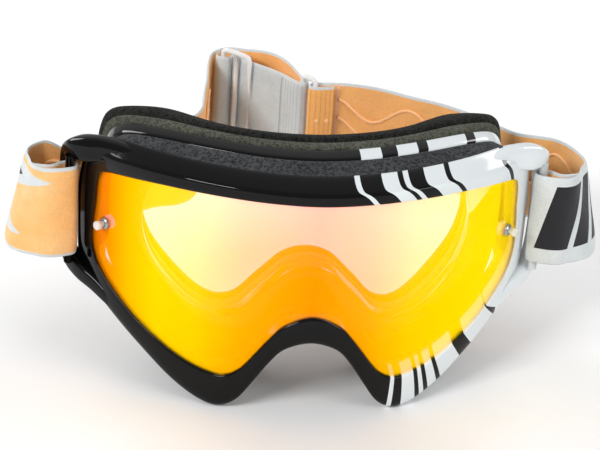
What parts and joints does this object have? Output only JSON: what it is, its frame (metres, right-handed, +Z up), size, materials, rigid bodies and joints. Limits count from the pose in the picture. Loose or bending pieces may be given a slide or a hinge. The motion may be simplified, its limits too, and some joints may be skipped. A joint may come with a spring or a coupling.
{
  "type": "motorcycle goggles",
  "caption": "Off-road motorcycle goggles: a gloss frame with a curved mirrored lens, face foam, vent foams, tear-off posts and an elastic strap with a sliding adjuster",
  "frame": {"origin": "bottom centre of the box of the whole object as it stands upright on the two lower lobes", "axes": "+X to the right of a viewer in front of the lens, +Y from the lens towards the wearer's face, +Z up"},
  "size_m": [0.2442, 0.1794, 0.1062],
  "materials": {
    "frame": "gloss black moulded urethane",
    "frame_white": "gloss white moulded urethane",
    "lens": "orange polycarbonate with a gold mirror coat",
    "clear_plastic": "milky clear moulded plastic",
    "collar_metal": "satin grey",
    "vent_foam": "open-cell blue-grey foam",
    "base_foam": "fine olive-grey foam",
    "fleece": "near-black fleece",
    "strap": "orange woven elastic with a white and black print",
    "silicone": "clear silicone beads"
  },
  "bodies": {
    "goggles": {"front_rim": "frame", "frame_body": "frame", "outrigger_left": "frame", "outrigger_right": "frame_white", "lens": "lens", "tearoff_post_left": "clear_plastic", "tearoff_post_right": "clear_plastic", "tearoff_collar_left": "collar_metal", "tearoff_collar_right": "collar_metal", "tearoff_clip_left": "clear_plastic", "tearoff_clip_right": "clear_plastic", "vent_foam_top": "vent_foam", "vent_foam_left": "vent_foam", "vent_foam_right": "vent_foam", "face_foam_base": "base_foam", "face_foam_fleece": "fleece", "strap_left": "strap", "strap_right": "strap", "strap_ring": "clear_plastic", "silicone_bead_upper_left": "silicone", "silicone_bead_lower_left": "silicone", "silicone_bead_upper_right": "silicone", "silicone_bead_lower_right": "silicone"},
    "adjuster": {"strap_slider": "clear_plastic", "slider_loop": "strap"}
  },
  "joints": [
    {"name": "slider_travel", "type": "slide", "parent": "goggles", "child": "adjuster", "axis": [0.7344, -0.6787, 0], "range_m": [0, 0.012]}
  ]
}
